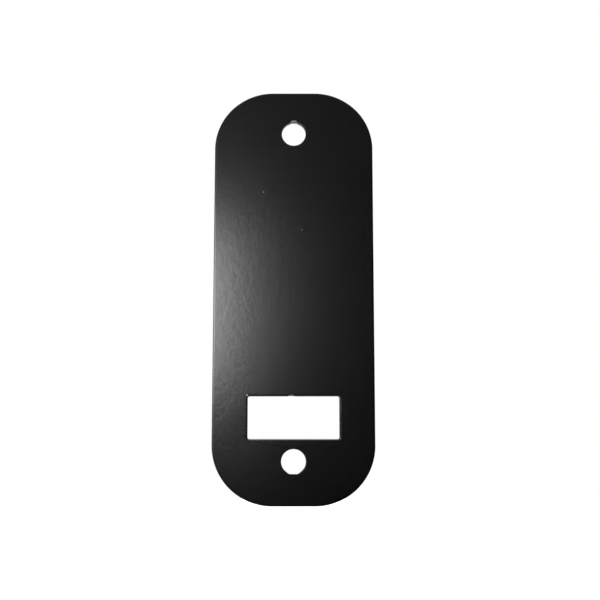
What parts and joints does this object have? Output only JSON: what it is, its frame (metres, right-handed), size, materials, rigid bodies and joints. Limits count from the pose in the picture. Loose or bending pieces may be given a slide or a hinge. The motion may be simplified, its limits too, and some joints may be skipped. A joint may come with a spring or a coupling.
{
  "type": "door chain guard",
  "caption": "Flat black powder-coated steel plate with rounded corners, screw holes near its ends and a rectangular window that takes the end of a door's safety chain.",
  "frame": {"origin": "centre of the flat back face, midway between the two screw holes", "axes": "+Z along the plate from the window end to the plain end, +Y out of the back face into the door, -Y out of the front face, +X to the right seen from the front"},
  "size_m": [0.0446, 0.0017, 0.116],
  "materials": {
    "bare_steel": "satin",
    "black_powder_coat": "satin"
  },
  "bodies": {
    "root": {"steel_plate": "bare_steel", "powder_coat": "black_powder_coat"}
  },
  "joints": []
}
